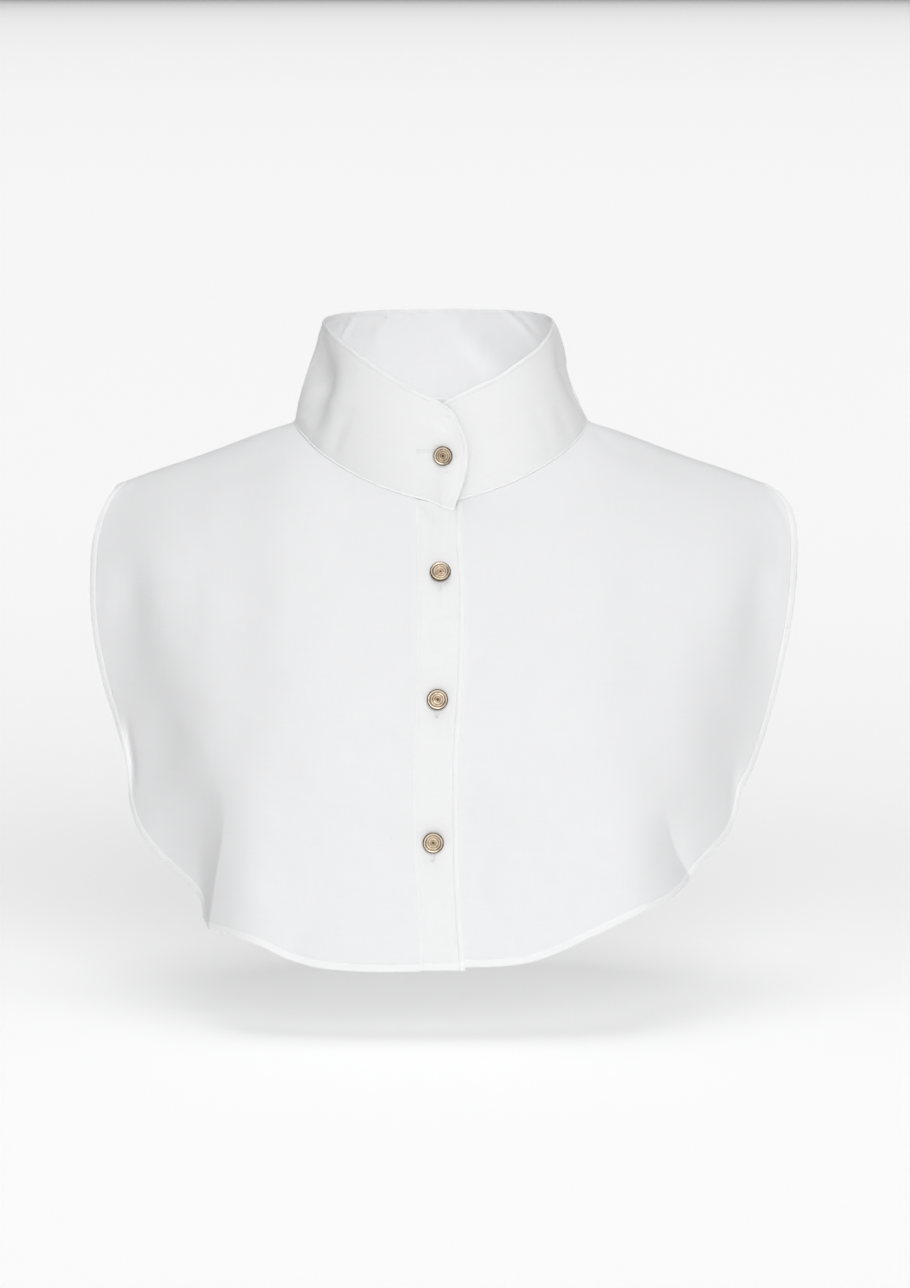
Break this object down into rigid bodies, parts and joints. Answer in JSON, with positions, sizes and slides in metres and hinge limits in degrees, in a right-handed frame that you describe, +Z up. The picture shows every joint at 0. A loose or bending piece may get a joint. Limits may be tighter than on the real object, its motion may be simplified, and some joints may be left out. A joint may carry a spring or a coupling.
{
  "type": "false shirt collar",
  "caption": "Sleeveless false shirt collar: a tall lapped stand collar on a short buttoned front and a plain back, hollow as worn, open at the neck, sides and hem.",
  "frame": {"origin": "middle of the neck opening, level with the neck ends of the shoulder seams", "axes": "+Z up as worn, the front faces -Y, +X towards the wearer's left"},
  "size_m": [0.3649, 0.2196, 0.322],
  "materials": {
    "white_cloth": "smooth fine woven crepe, soft sheen",
    "button_metal": "aged pale gold, darker in the grooves"
  },
  "bodies": {
    "root": {"front_right": "white_cloth", "front_left": "white_cloth", "back": "white_cloth", "collar": "white_cloth", "placket_top": "white_cloth", "placket_under": "white_cloth", "button_1": "button_metal", "button_2": "button_metal", "button_3": "button_metal", "button_4": "button_metal"}
  },
  "joints": []
}
